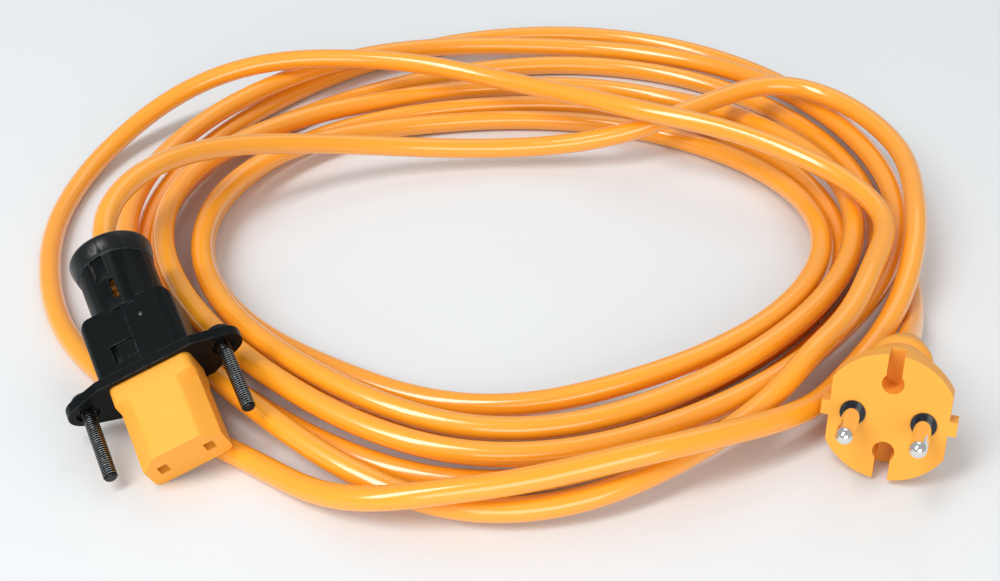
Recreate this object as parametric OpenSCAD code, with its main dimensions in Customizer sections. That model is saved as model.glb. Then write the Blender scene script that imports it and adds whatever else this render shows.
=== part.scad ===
// Two-core detachable power cord: a wound cord with a flat-faced mains plug at one end
// and a two-pole appliance connector, held in a screw-on bracket, at the other.
// Millimetres, +Z up. The origin is under the middle of the connector and its bracket.

/* [Cord] */
// Outside diameter of the cord's sheath
cord_d = 7; // [6:0.5:7]
// Outside diameter of one insulated core
core_d = 2.4; // [2:0.1:2.6]
// Diameter of the copper conductor in a core
conductor_d = 1.3; // [1:0.1:1.5]
// Distance between the two cores in the sheath
core_pitch = 2.8; // [2.8:0.1:3.2]

/* [Connector nose] */
// Width of the nose
nose_w = 23.7; // [23:0.1:24.2]
// Height of the nose
nose_h = 15.4; // [14.8:0.1:15.8]
// Width of the flat on top of the nose, between its two slopes
nose_flat_w = 14; // [12:0.5:15]
// Drop of the two slopes on top of the nose
nose_slope_h = 4.7; // [4:0.1:5]
// Rounding of the nose's lower corners
nose_corner_r = 3; // [2:0.5:3.5]
// Length of the nose up to the start of its shoulder
nose_l = 19.5; // [18:0.5:21]
// Length of the slope from the nose to its collar
shoulder_l = 1.5; // [1:0.25:2.5]
// Length of the full-size collar between the shoulder and the bracket
collar_l = 5; // [4:0.5:7]
// Width of the collar and of the grip behind it, over that of the nose
collar_step = 0.9; // [0.5:0.1:1.5]
// Distance between the two contacts
contact_pitch = 14; // [13.5:0.1:14.2]
// Width of a contact slot
slot_w = 2.8; // [2.4:0.1:3]
// Height of a contact slot
slot_h = 4.2; // [3.8:0.1:4.4]
// Thickness of the wall in front of the contacts
nose_wall = 3; // [2:0.5:4]

/* [Connector inside] */
// Length of the spring part of a contact
contact_l = 14; // [12:0.5:15]
// Thickness of the contact's brass strip
strip_t = 0.5; // [0.4:0.05:0.6]
// Length of the crimped barrel on a contact
barrel_l = 6; // [5:0.5:7]
// Length of the contact carrier
carrier_l = 30; // [28:0.5:31]
// Wall of the contact carrier around a contact
carrier_wall = 1; // [0.8:0.1:1.2]

/* [Connector grip] */
// Length of the grip block inside the bracket
grip_l = 22; // [20:0.5:24]
// Rounding of the grip block's long edges
grip_corner_r = 2.5; // [1.5:0.5:3.5]
// Largest diameter of the tail behind the grip
tail_d = 13; // [12:0.5:14]
// Diameter of the tail where the cord leaves it
tail_end_d = 10; // [9:0.5:11]
// Length of the tail
tail_l = 12; // [11:0.5:12]
// Depth of the rings that are cut in the tail
tail_ring_depth = 0.8; // [0.4:0.1:1]

/* [Bracket] */
// Thickness of the mounting plate
plate_t = 3; // [2.5:0.25:4]
// Distance between the two screw holes
screw_pitch = 42; // [40:0.5:43]
// Wall of an ear round its screw hole
ear_wall = 3.5; // [2.5:0.25:4]
// Rim of the plate that stands out round the box
plate_rim = 0.4; // [0.2:0.1:0.8]
// Wall of the box around the grip
box_wall = 1.5; // [1.2:0.1:2]
// Rounding of the box's long edges
box_corner_r = 3.5; // [2.5:0.5:4]
// Rounding of the box's back corners
box_end_r = 3.5; // [2.5:0.25:4]
// Outside diameter of the sleeve behind the box
sleeve_d = 22; // [21:0.5:23]
// Length of the sleeve behind the box
sleeve_l = 24; // [22:0.5:26]
// Wall of the sleeve
sleeve_wall = 1.6; // [1.4:0.1:2]
// Largest diameter of the flared flange at the sleeve's end
flange_d = 24.8; // [24:0.2:26]
// Step from the sleeve to the thin end of the flange
flange_step = 0.5; // [0.3:0.1:0.8]
// Length of the flange
flange_l = 6.5; // [5:0.5:8]
// Widening of the sleeve's mouth, where the cord comes out
mouth = 1; // [0.6:0.1:1.2]
// Rounding of the flange's rims
flange_r = 1.5; // [1:0.25:2]

/* [Bracket catches] */
// Length of the catch on the box, along the bracket
catch_l = 5.2; // [4:0.2:6]
// Reach of the catch on the box over the other half
catch_reach = 5.2; // [4:0.2:6]
// Open space in the window past the end of that catch
catch_room = 1.8; // [1:0.2:2.4]
// Length of the catch on the sleeve, along the bracket
small_catch_l = 7.4; // [6:0.2:8]
// Reach of the catch on the sleeve over the other half
small_catch_reach = 4; // [3:0.5:5]
// Width of the slit on the seam over the tail
slit_w = 1.6; // [1.2:0.1:2]
// Length of that slit
slit_l = 7; // [5:0.5:7]
// Thickness of a catch's tongue
tongue_t = 1; // [0.8:0.1:1.1]

/* [Bracket screws] */
// Thread diameter of a bracket screw
screw_d = 4; // [3.5:0.5:4]
// Length of a bracket screw under its head
screw_l = 25; // [20:1:26]
// Diameter of the screw's plain neck inside the plate
screw_neck_d = 3.5; // [3.2:0.1:3.6]
// Diameter of a screw's head
head_d = 7.8; // [7:0.2:8]
// Height of a screw's head
head_h = 2.8; // [2.2:0.2:3.2]
// Width of the hexagon socket in a screw's head
socket_w = 2.5; // [2:0.5:3]
// Diameter of the recess round a screw in the plate's front
recess_d = 7; // [6.4:0.2:7.4]
// Depth of that recess
recess_depth = 1; // [0.5:0.25:1.5]

/* [Plug] */
// Diameter of the plug's face
plug_d = 37; // [36:0.5:38]
// Thickness of the plug's rim
rim_t = 5.5; // [5:0.5:7]
// Distance between the flats on the plug's sides
flat_w = 32; // [31:0.5:34]
// Width over the two side ribs
rib_span = 36.4; // [35.5:0.1:37]
// Width of a side rib
rib_w = 4.2; // [3.5:0.1:5]
// Length of the plug from its face to the end of its neck
plug_l = 35; // [33:0.5:36]
// Rise of the neck over the middle of the face
neck_rise = 6.5; // [5:0.5:8]
// Diameter of the neck where it leaves the body
neck_d = 18.5; // [17:0.5:19]
// Diameter of the neck where the cord leaves it
neck_end_d = 13; // [12:0.5:14]
// Step in from the rim to the body behind it
rim_step = 1.25; // [0.75:0.25:1.5]
// Length of the straight part of the body behind the rim
straight_l = 4; // [3.5:0.5:5]
// Length of the sloping part of the body behind that
slope_l = 10; // [9:0.5:11]
// Distance of each notch's round end from the middle of the face
notch_r = 10.1; // [9.8:0.1:11]
// Diameter of a notch's round end
notch_end_d = 5.9; // [5.4:0.1:6.2]
// Width of a notch
notch_w = 4.1; // [3.5:0.1:4.5]
// Depth of the notches
notch_depth = 9; // [7:0.5:9]

/* [Plug pins] */
// Diameter of a pin
pin_d = 4.8; // [4.6:0.1:4.9]
// Length of a pin in front of the face
pin_l = 19; // [18:0.5:19.5]
// Diameter of a pin inside the bridge and its collar
pin_root_d = 4.2; // [4:0.1:4.4]
// Distance between the two pins
pin_pitch = 19; // [18:0.5:19.5]
// Outside diameter of the collar round a pin
collar_d = 7; // [6.8:0.1:7.4]
// Height of a collar in front of the face
collar_h = 0.6; // [0.4:0.1:1]
// Thickness of the bridge that carries the pins
bridge_t = 4; // [3:0.5:4.5]
// Depth of the bridge behind the face
bridge_depth = 3; // [2.5:0.5:3.5]
// Length of a pin's crimped end behind the bridge
crimp_l = 4.5; // [4:0.5:5]
// Diameter of a pin's crimped end
crimp_d = 3.4; // [3:0.1:3.6]

/* [Fits] */
// Gap between moulded parts and what lies in them
seat_gap = 0.1; // [0.05:0.05:0.15]
// Gap between a screw and its hole
screw_gap = 0.25; // [0.15:0.05:0.3]
// Gap round a catch's tongue
catch_gap = 0.3; // [0.2:0.05:0.4]
// Gap between strands that lie on each other
strand_gap = 0.8; // [0.8:0.05:0.9]

/* [Hidden] */
$fn = 64;

// Place of the connector's face: middle between its slots, then its turn, dip and tilt
face_x = 11.63;
face_y = -31.58;
face_z = 9.25;
face_turn = 26;
face_dip = 17.5;
face_tilt = 20;
// Middle of the wound cord
coil_x = 94.13;
coil_y = 81.42;
// Place of the plug's face, from the middle of the wound cord, with its turn, lift and tilt.
// It stands on its rim or on the edge of its body, whichever is lower.
plug_x = 108.6;
plug_y = -107.9;
plug_turn = -21;
plug_lift = 18;
plug_tilt = 3.8;
rim_low = rim_t * sin(plug_lift) + plug_d / 2 * cos(plug_lift);
body_low = (rim_t + straight_l) * sin(plug_lift) + (plug_d / 2 - rim_step) * cos(plug_lift);
plug_z = max(rim_low, body_low);

// Heights and depths in the connector's own frame: face at z = 0, slots along x, top at +y
slot_y = 0.4;
nose_top = 8.5;
nose_bottom = nose_top - nose_h;
shoulder_z = -nose_l - shoulder_l;
plate_z = shoulder_z - collar_l;
grip_end_z = plate_z - grip_l;
tail_z = grip_end_z - tail_l;
grip_w = nose_w + collar_step;
grip_y = nose_top - nose_h / 2;
box_w = grip_w + 2 * (seat_gap + box_wall);
box_h = nose_h + 2 * (seat_gap + box_wall);
box_top = grip_y + box_h / 2;
box_end_z = grip_end_z - box_wall;
sleeve_end_z = box_end_z - sleeve_l;
screw_y = 1.8;
hole_d = screw_d + 2 * screw_gap;
ear_r = hole_d / 2 + ear_wall;
head_z = plate_z - plate_t;
head_gap = 0.1;
thread_z = plate_z - recess_depth;
catch_back = 8.4;
catch_z = plate_z - catch_back;
catch_clear = 0.5;
small_catch_z = sleeve_end_z + flange_l + catch_clear + small_catch_l / 2;
slit_end_z = small_catch_z + small_catch_l / 2 + 2 * catch_clear;
catch_root = 1.2;

// Contacts, carrier and cores
contact_z = -nose_wall - 0.5;
contact_w = slot_w + 2 * strip_t + 0.2;
contact_h = slot_h + 2 * strip_t;
barrel_z = contact_z - contact_l;
barrel_d = core_d + 1;
bend_back_z = grip_end_z + 4;
carrier_w = contact_pitch + contact_w + 2 * carrier_wall;
carrier_h = contact_h + 2 * carrier_wall;
crimp_z = barrel_z - barrel_l;

// Plug
bridge_w = pin_pitch + collar_d + 1;
neck_start_z = -rim_t - straight_l - slope_l;
pin_back_z = -bridge_depth - bridge_t;
plug_crimp_z = pin_back_z - crimp_l;
plug_bend_z = -plug_l + 8;

// Sides of the swept cord, and of the wires in the connector and the plug
coil_sides = 6;
lead_sides = 8;
wire_sides = 12;
wire_steps = 8;
// Steps of an ear's round end
ear_steps = 10;

// The wound cord: outer and inner outline of the pile as distances from its middle, one every
// 30 degrees counter-clockwise from +X. It is wound from the plug's end: in, then out again.
outer_outline = [138, 150, 152, 141, 128, 127, 129, 119, 119, 138, 122, 120];
inner_outline = [114, 97, 74, 62, 65, 77, 89, 85, 76, 84, 89, 103];
rings_per_turn = 24;
coil_rings = 141;
coil_start = -5;
settle_passes = 10;

// The free stretch from the bracket to the wound cord, from the middle of the wound cord
connector_route = [
    [-116, -43.5, 33.2], [-116, -30, 36], [-110, -14, 36.5], [-101, 0, 34], [-88, 14, 29],
    [-68, 27, 22], [-45, 37, 15], [-21, 43, 10], [4, 46, 8], [28, 46, 10],
    [48, 47, 14], [66, 53, 17.5], [84, 64, 18.5], [104, 71, 19], [122, 64, 18.5],
    [135, 47, 18], [141, 26, 18], [140, 4, 18.5], [136, -18, 18], [129, -40, 15],
    [118, -61, 12], [104.5, -78, 9.5], [90, -95.5, 12], [70, -108.5, 16], [49, -117.5, 18],
    [28, -123, 16.5], [8, -127.5, 15], [-12, -129.5, 13], [-31, -128.5, 9.5], [-48, -121, 5],
    [-66, -108.5, 3.5], [-88, -94.5, 3.5], [-106, -80, 3.5], [-122, -64, 3.5], [-135, -44, 3.5],
    [-145, -12, 3.5], [-146, 20, 3.5], [-137, 50, 6], [-115, 75, 13.5], [-86, 87, 19],
    [-54, 90, 19.5], [-24, 86, 19], [4, 75, 19], [32, 58, 22], [56, 43, 24.5],
    [80, 32, 24.5], [105, 18, 22], [121, 2, 20], [126, -16, 19.5], [119, -37, 20],
    [110, -56, 19.5], [101.5, -69, 19], [92.5, -79.5, 18],
];
// The free stretch from the wound cord to the plug
plug_route = [[134, -30, 3.5], [131.5, -44, 5.2], [128, -56, 8.3]];

// ---- Placing ----

// Puts the connector's own frame in place
module at_connector() {
    translate([face_x, face_y, face_z])
        rotate([0, 0, face_turn])
            rotate([90 + face_dip, 0, 0])
                rotate([0, 0, face_tilt])
                    children();
}

// Puts the plug's own frame in place
module at_plug() {
    translate([coil_x + plug_x, coil_y + plug_y, plug_z])
        rotate([0, 0, plug_turn])
            rotate([90 - plug_lift, 0, 0])
                rotate([0, 0, plug_tilt])
                    children();
}

// The same two places, for a point
function turned(p, a) = [p[0] * cos(a) - p[1] * sin(a), p[0] * sin(a) + p[1] * cos(a), p[2]];
function tipped(p, a) = [p[0], p[1] * cos(a) - p[2] * sin(a), p[1] * sin(a) + p[2] * cos(a)];
function on_connector(p) = [face_x, face_y, face_z]
    + turned(tipped(turned(p, face_tilt), 90 + face_dip), face_turn);
function on_plug(p) = [coil_x + plug_x, coil_y + plug_y, plug_z]
    + turned(tipped(turned(p, plug_tilt), 90 - plug_lift), plug_turn);

// ---- Cord ----

function unit(v) = v / norm(v);

// Smooth closed outline through the neighbourhood of the listed distances
function blend(a, b, c, d, u) =
    (pow(1 - u, 3) * a + (3 * pow(u, 3) - 6 * u * u + 4) * b
        + (-3 * pow(u, 3) + 3 * u * u + 3 * u + 1) * c + pow(u, 3) * d) / 6;
function outline(list, angle) =
    let (n = len(list), place = (angle / 360 - floor(angle / 360)) * n, k = floor(place))
    blend(list[(k + n - 1) % n], list[k % n], list[(k + 1) % n], list[(k + 2) % n], place - k);

// Distance of each ring from the middle: steadily in and out, with a slow wander
function ring_angle(i) = coil_start + i * 360 / rings_per_turn;
function wander(angle) = 4 * cos(0.8 * angle) - 2 * cos(2.3 * angle);
function ring_distance(i) =
    let (angle = ring_angle(i), share = abs(1 - 2 * i / coil_rings))
    let (inner = outline(inner_outline, angle), outer = outline(outer_outline, angle))
    inner + (outer - inner) * share
        + wander(angle) * min(1, 0.25 + 4 * min(share, 1 - share));
coil_distance = [for (i = [0:coil_rings]) ring_distance(i)];

// Height of each ring: each turn rests on the turns that were wound before it
lift = cord_d + strand_gap;
function on_turn(heights, i, below) =
    let (step = coil_distance[i] - coil_distance[below])
    abs(step) < lift ? heights[below] + sqrt(lift * lift - step * step) : 0;
function resting(heights, i) =
    max(concat([cord_d / 2],
        [for (below = [i - rings_per_turn : -rings_per_turn : 0]) on_turn(heights, i, below)]));
function near(list, i) = [list[max(i - 1, 0)], list[i], list[min(i + 1, coil_rings)]];
function settle(heights) =
    let (raised = [for (i = [0:coil_rings]) resting(heights, i)])
    let (held = [for (i = [0:coil_rings]) max(near(raised, i))])
    [for (i = [0:coil_rings]) near(held, i) * [1, 1, 1] / 3];
function settled(heights, passes) =
    passes == 0 ? heights : settled(settle(heights), passes - 1);
coil_height = settled([for (i = [0:coil_rings]) cord_d / 2], settle_passes);

coil_points = [for (i = [0:coil_rings])
    [coil_x + coil_distance[i] * cos(ring_angle(i)),
        coil_y + coil_distance[i] * sin(ring_angle(i)), coil_height[i]]];
coil_first = coil_points[0];
coil_last = coil_points[coil_rings];
coil_out = unit(coil_last - coil_points[coil_rings - 1]);
coil_in = unit(coil_points[1] - coil_first);

// Adds a straight run of one diameter at both ends of a route
function with_ends(first, first_way, route, last, last_way) =
    concat([first, first + first_way * cord_d], route, [last - last_way * cord_d, last]);

lead_start = on_connector([0, 0, tail_z]);
sleeve_exit = on_connector([0, 0, sleeve_end_z]);
connector_way = unit(lead_start - sleeve_exit);
plug_end = on_plug([0, neck_rise, -plug_l]);
plug_way = unit(on_plug([0, neck_rise, 0]) - plug_end);

function shifted(route) = [for (p = route) p + [coil_x, coil_y, 0]];
lead_points = with_ends(lead_start, -connector_way,
    concat([sleeve_exit], shifted(connector_route)), coil_last, -coil_out);
loop_points = with_ends(coil_first, coil_in,
    [for (i = [1:coil_rings - 1]) coil_points[i]], coil_last, coil_out);
plug_lead_points = with_ends(coil_first, -coil_in, shifted(plug_route), plug_end, plug_way);

// Direction of a route at one of its points, with straight ends
function way(p, i) =
    i < 2 ? unit(p[1] - p[0])
    : i > len(p) - 3 ? unit(p[len(p) - 1] - p[len(p) - 2])
    : unit(p[i + 1] - p[i - 1]);
// One ring of a tube, square to its route; flat is a direction that the route never takes
function ring(p, i, d, sides, flat) =
    let (ahead = way(p, i), side = unit(cross(ahead, flat)), up = cross(side, ahead))
    [for (k = [0:sides - 1])
        let (a = k * 360 / sides - 90)
        p[i] + d / 2 * (cos(a) * side + sin(a) * up)];

// A tube along a route, as one closed skin of triangles
module tube(p, d, s, flat) {
    points = [for (i = [0:len(p) - 1]) each ring(p, i, d, s, flat)];
    skin = [for (i = [0:len(p) - 2], k = [0:s - 1])
        let (a = i * s + k, b = i * s + (k + 1) % s)
        each [[a, b, a + s], [b, b + s, a + s]]];
    first_cap = [for (k = [1:s - 2]) [0, k + 1, k]];
    last = (len(p) - 1) * s;
    last_cap = [for (k = [1:s - 2]) [last, last + k, last + k + 1]];
    polyhedron(points, concat(first_cap, skin, last_cap));
}

module cord_along(p, sides) {
    tube(p, cord_d, sides, [0, 0, 1]);
}

// Least gap of the wound cord to itself, measured between points on neighbouring turns
steps = 4;
function along(i) =
    let (k = floor(i / steps), u = i / steps - k)
    u == 0 ? coil_points[k] : coil_points[k] * (1 - u) + coil_points[k + 1] * u;
fine = [for (i = [0:coil_rings * steps]) along(i)];
turn_steps = rings_per_turn * steps;
least_gap = min([for (i = [turn_steps - 4 : len(fine) - 1],
    turn = [1 : floor((i + 4) / turn_steps)], j = [-4:4])
    let (other = i - turn * turn_steps + j)
    if (other >= 0) norm(fine[i] - fine[other])]) - cord_d;
function route_length(p) = len(p) < 2 ? 0 :
    [for (i = [1:len(p) - 1]) norm(p[i] - p[i - 1])] * [for (i = [1:len(p) - 1]) 1];
echo(least_gap = least_gap);
echo(cord_length = route_length(lead_points) + route_length(loop_points)
    + route_length(plug_lead_points));

module cord_connector_lead() {
    color("orange") cord_along(lead_points, lead_sides);
}

module cord_coil() {
    color("orange") cord_along(loop_points, coil_sides);
}

module cord_plug_lead() {
    color("orange") cord_along(plug_lead_points, lead_sides);
}

// ---- Shared shapes ----

// Corner points of a rectangle with round corners
function rounded(w, h, r, y = 0) =
    [for (corner = [0:3], step = [0:6])
        let (a = corner * 90 + step * 15)
        let (sx = (corner == 0 || corner == 3) ? 1 : -1, sy = corner < 2 ? 1 : -1)
        [sx * (w / 2 - r) + r * cos(a), y + sy * (h / 2 - r) + r * sin(a)]];

// Outline of the nose: flat top, two slopes, upright sides and round lower corners
function nose_outline() =
    let (half = nose_w / 2, r = nose_corner_r)
    concat(
        [[half, nose_top - nose_slope_h], [nose_flat_w / 2, nose_top],
            [-nose_flat_w / 2, nose_top], [-half, nose_top - nose_slope_h]],
        [for (a = [180:15:270]) [-half + r + r * cos(a), nose_bottom + r + r * sin(a)]],
        [for (a = [270:15:360]) [half - r + r * cos(a), nose_bottom + r + r * sin(a)]]);

// A straight prism from z = low to z = high
module prism(points, low, high) {
    translate([0, 0, low])
        linear_extrude(high - low)
            polygon(points);
}

// A wire that leaves the cord near its middle, at near_x and near_y, and swings out to far_x:
// straight, then one soft bend out and one back, then straight again
module wire(d, start_z, bend_z, spread_z, end_z, near_x, far_x, near_y = 0) {
    bend = [for (k = [0:wire_steps])
        let (share = k / wire_steps, left = (1 + cos(180 * share)) / 2)
        [far_x + (near_x - far_x) * left, near_y * left, bend_z + (spread_z - bend_z) * share]];
    tube(concat([[near_x, near_y, start_z]], bend, [[far_x, 0, end_z]]), d, wire_sides,
        [0, 1, 0]);
}

// ---- Connector inside ----

// The same wire on either side: side is -1 for the left one and 1 for the right one
module connector_wire(d, side, end_z, start_z = tail_z) {
    translate([0, slot_y, 0])
        mirror([side < 0 ? 1 : 0, 0, 0])
            wire(d, start_z, bend_back_z - 4, bend_back_z + 6, end_z,
                core_pitch / 2, contact_pitch / 2);
}

// Room for the contacts in the carrier: a square pocket and a round one for the barrel
module contact_room(side) {
    x = side * contact_pitch / 2;
    translate([x - contact_w / 2 - seat_gap, slot_y - contact_h / 2 - seat_gap,
            barrel_z - seat_gap])
        cube([contact_w + 2 * seat_gap, contact_h + 2 * seat_gap,
            contact_l + nose_wall + 2]);
    translate([x, slot_y, -nose_wall - carrier_l - 1])
        cylinder(d = barrel_d + 2 * seat_gap, h = carrier_l, $fn = 32);
}

module carrier_block(gap) {
    translate([-carrier_w / 2 - gap, slot_y - carrier_h / 2 - gap,
            -nose_wall - carrier_l - gap])
        cube([carrier_w + 2 * gap, carrier_h + 2 * gap, carrier_l + gap]);
}

module contact_carrier() {
    color([0.75, 0.25, 0.1])
    at_connector()
    difference() {
        carrier_block(0);
        contact_room(-1);
        contact_room(1);
    }
}

// A folded brass sleeve with two spring leaves and a crimped barrel
module contact(side) {
    x = side * contact_pitch / 2;
    inner_w = contact_w - 2 * strip_t;
    translate([x, slot_y, 0]) {
        difference() {
            translate([-contact_w / 2, -contact_h / 2, barrel_z])
                cube([contact_w, contact_h, contact_l]);
            translate([-inner_w / 2, -slot_h / 2, barrel_z + strip_t])
                cube([inner_w, slot_h, contact_l]);
            translate([-contact_w / 2 - 1, -contact_h / 2 - 1, barrel_z + contact_l * 0.6])
                cube([contact_w + 2, strip_t + 1, contact_l * 0.25]);
        }
        for (way = [-1, 1])
            translate([way * (inner_w / 2 - 0.35) - 0.35, -slot_h / 2 + 0.6,
                    barrel_z + strip_t])
                cube([0.7, slot_h - 1.2, contact_l * 0.5]);
        difference() {
            translate([0, 0, crimp_z])
                cylinder(d = barrel_d, h = barrel_l, $fn = 32);
            translate([0, 0, crimp_z - 1])
                cylinder(d = conductor_d + 2 * seat_gap, h = barrel_l - 0.5, $fn = 32);
        }
    }
}

module contact_left() {
    color("gold") at_connector() contact(-1);
}

module contact_right() {
    color("gold") at_connector() contact(1);
}

module connector_core(side) {
    difference() {
        connector_wire(core_d, side, crimp_z);
        connector_wire(conductor_d + 2 * seat_gap, side, crimp_z + 1, tail_z - 1);
    }
}

module connector_core_brown() {
    color("saddlebrown") at_connector() connector_core(-1);
}

module connector_core_blue() {
    color("royalblue") at_connector() connector_core(1);
}

module connector_conductor_brown() {
    color("peru") at_connector() connector_wire(conductor_d, -1, crimp_z + barrel_l - 2);
}

module connector_conductor_blue() {
    color("peru") at_connector() connector_wire(conductor_d, 1, crimp_z + barrel_l - 2);
}

// ---- Connector body ----

// The tail: a cone with three rings cut in it for bending
module tail() {
    ring_w = 1.4;
    ring_step = 2.6;
    growth = (tail_d - tail_end_d) / tail_l;
    difference() {
        translate([0, 0, tail_z])
            cylinder(d1 = tail_end_d, d2 = tail_d, h = tail_l);
        for (k = [1:3])
            translate([0, 0, tail_z + k * ring_step - ring_w / 2])
                difference() {
                    cylinder(d = tail_d + 2, h = ring_w);
                    translate([0, 0, -1])
                        cylinder(d = tail_end_d + k * ring_step * growth - 2 * tail_ring_depth,
                            h = ring_w + 2);
                }
    }
}

module connector_body() {
    grip = rounded(grip_w, nose_h, grip_corner_r, grip_y);
    color("orange")
    at_connector()
    difference() {
        union() {
            prism(nose_outline(), -nose_l - 1, 0);
            hull() {
                prism(nose_outline(), -nose_l - 0.5, -nose_l);
                prism(grip, shoulder_z - 0.5, shoulder_z);
            }
            prism(grip, grip_end_z, shoulder_z);
            tail();
        }
        for (side = [-1, 1]) {
            translate([side * contact_pitch / 2 - slot_w / 2, slot_y - slot_h / 2,
                    -nose_wall - 1])
                cube([slot_w, slot_h, nose_wall + 2]);
            connector_wire(core_d + 2 * seat_gap, side, -nose_wall - carrier_l + 1, tail_z - 1);
        }
        carrier_block(seat_gap);
    }
}

// ---- Bracket ----

// The whole bracket outside, before it is split
module bracket_outside() {
    prism(plate_outline(), head_z, plate_z);
    box_shell();
    translate([0, 0, sleeve_end_z + 1])
        cylinder(d = sleeve_d, h = grip_end_z - sleeve_end_z - 1);
    flange();
}

// Outline of the plate: a rim round the box, drawn out on both sides to an ear round its screw
function ear_arc(side) =
    let (rim_x = box_w / 2 + plate_rim, rim_y = box_h / 2 + plate_rim)
    let (to_top = [rim_x - screw_pitch / 2, grip_y + rim_y - screw_y])
    let (to_bottom = [rim_x - screw_pitch / 2, grip_y - rim_y - screw_y])
    let (high = atan2(to_top[1], to_top[0]) - acos(ear_r / norm(to_top)))
    let (low = atan2(to_bottom[1], to_bottom[0]) + acos(ear_r / norm(to_bottom)))
    [for (k = [0:ear_steps])
        let (a = low + (high - low) * k / ear_steps)
        [side * (screw_pitch / 2 + ear_r * cos(a)), screw_y + ear_r * sin(a)]];
function plate_outline() =
    let (rim_x = box_w / 2 + plate_rim, rim_y = box_h / 2 + plate_rim, left = ear_arc(-1))
    concat([[rim_x, grip_y - rim_y]], ear_arc(1), [[rim_x, grip_y + rim_y]],
        [[-rim_x, grip_y + rim_y]], [for (k = [ear_steps:-1:0]) left[k]],
        [[-rim_x, grip_y - rim_y]]);

// The box, with round corners along it and at its back
module box_shell() {
    half = box_w / 2;
    r = box_end_r;
    intersection() {
        prism(rounded(box_w, box_h, box_corner_r, grip_y), box_end_z, plate_z - plate_t / 2);
        translate([0, box_h, 0])
            rotate([90, 0, 0])
                linear_extrude(2 * box_h)
                    polygon(concat(
                        [[half + 1, plate_z], [half + 1, box_end_z + r]],
                        [for (a = [0:-15:-90])
                            [half - r + r * cos(a), box_end_z + r + r * sin(a)]],
                        [for (a = [-90:-15:-180])
                            [r - half + r * cos(a), box_end_z + r + r * sin(a)]],
                        [[-half - 1, box_end_z + r], [-half - 1, plate_z]]));
    }
}

// The flange at the cord's end: it flares out from a small step to its round rim
module flange() {
    r = flange_r;
    outer = flange_d / 2;
    thin = sleeve_d / 2 + flange_step;
    inner = sleeve_d / 2 - 1;
    lip = 0.3;
    belly = [outer - 0.15 * (outer - thin), 0.45 * flange_l];
    translate([0, 0, sleeve_end_z])
        rotate_extrude()
            polygon(concat([[inner, 0]],
                [for (a = [-90:15:0]) [outer - r + r * cos(a), r + r * sin(a)]],
                [belly, [thin, flange_l - lip], [thin - lip, flange_l], [inner, flange_l]]));
}

// The room inside: the grip's box, the way for the tail, and the bell mouth for the cord
module bracket_inside() {
    bore = sleeve_d / 2 - sleeve_wall;
    prism(rounded(grip_w + 2 * seat_gap, nose_h + 2 * seat_gap, grip_corner_r, grip_y),
        grip_end_z - seat_gap, plate_z + 1);
    translate([0, 0, box_end_z - 1])
        cylinder(d = tail_d + 4 * seat_gap, h = box_wall + 2);
    translate([0, 0, sleeve_end_z - 1])
        cylinder(r = bore, h = sleeve_l + 1);
    translate([0, 0, sleeve_end_z - 0.2])
        cylinder(r1 = bore + mouth, r2 = bore - 0.2, h = 2 * mouth);
}

// One screw hole with its recess in the plate's front
module screw_hole(side) {
    translate([side * screw_pitch / 2, screw_y, head_z - 1])
        cylinder(d = hole_d, h = plate_t + 2);
    translate([side * screw_pitch / 2, screw_y, plate_z - recess_depth])
        cylinder(d = recess_d, h = recess_depth + 1);
}

// The catch on the box: a tongue of the right half in a window of the left half
module box_catch(gap) {
    seat = (box_wall - tongue_t) / 2;
    low = gap > 0 ? box_top - 2 * box_wall : box_top - box_wall + seat;
    high = gap > 0 ? box_top + 1 : box_top - seat;
    reach = gap > 0 ? catch_reach + catch_room : catch_reach;
    translate([-reach, low, catch_z - catch_l / 2 - gap])
        cube([reach + catch_root, high - low, catch_l + 2 * gap]);
}

// The catch on the sleeve, in the same way
module sleeve_catch(gap) {
    seat = (sleeve_wall - tongue_t) / 2;
    outer = gap > 0 ? sleeve_d : sleeve_d / 2 - seat;
    inner = gap > 0 ? sleeve_d / 4 : sleeve_d / 2 - seat - tongue_t;
    intersection() {
        translate([0, 0, small_catch_z - small_catch_l / 2 - gap])
            difference() {
                cylinder(r = outer, h = small_catch_l + 2 * gap);
                translate([0, 0, -1])
                    cylinder(r = inner, h = small_catch_l + 2 * gap + 2);
            }
        translate([-small_catch_reach - gap, 0, small_catch_z - small_catch_l])
            cube([small_catch_reach + gap + catch_root, sleeve_d, 2 * small_catch_l]);
    }
}

// The narrow opening on the seam over the tail
module seam_slit() {
    translate([-slit_w / 2, 0, slit_end_z])
        cube([slit_w, sleeve_d, slit_l]);
}

// One half of the bracket, split on the plane between the slots
module bracket_half(side) {
    room = screw_pitch + head_d;
    intersection() {
        difference() {
            bracket_outside();
            bracket_inside();
            screw_hole(side);
            seam_slit();
        }
        translate([side > 0 ? 0 : -room, -room, sleeve_end_z - 1])
            cube([room, 2 * room, -sleeve_end_z]);
    }
}

module bracket_left_half() {
    color([0.08, 0.08, 0.08])
    at_connector()
    difference() {
        bracket_half(-1);
        box_catch(catch_gap);
        sleeve_catch(catch_gap);
    }
}

module bracket_right_half() {
    color([0.1, 0.1, 0.1])
    at_connector() {
        bracket_half(1);
        box_catch(0);
        sleeve_catch(0);
    }
}

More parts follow.
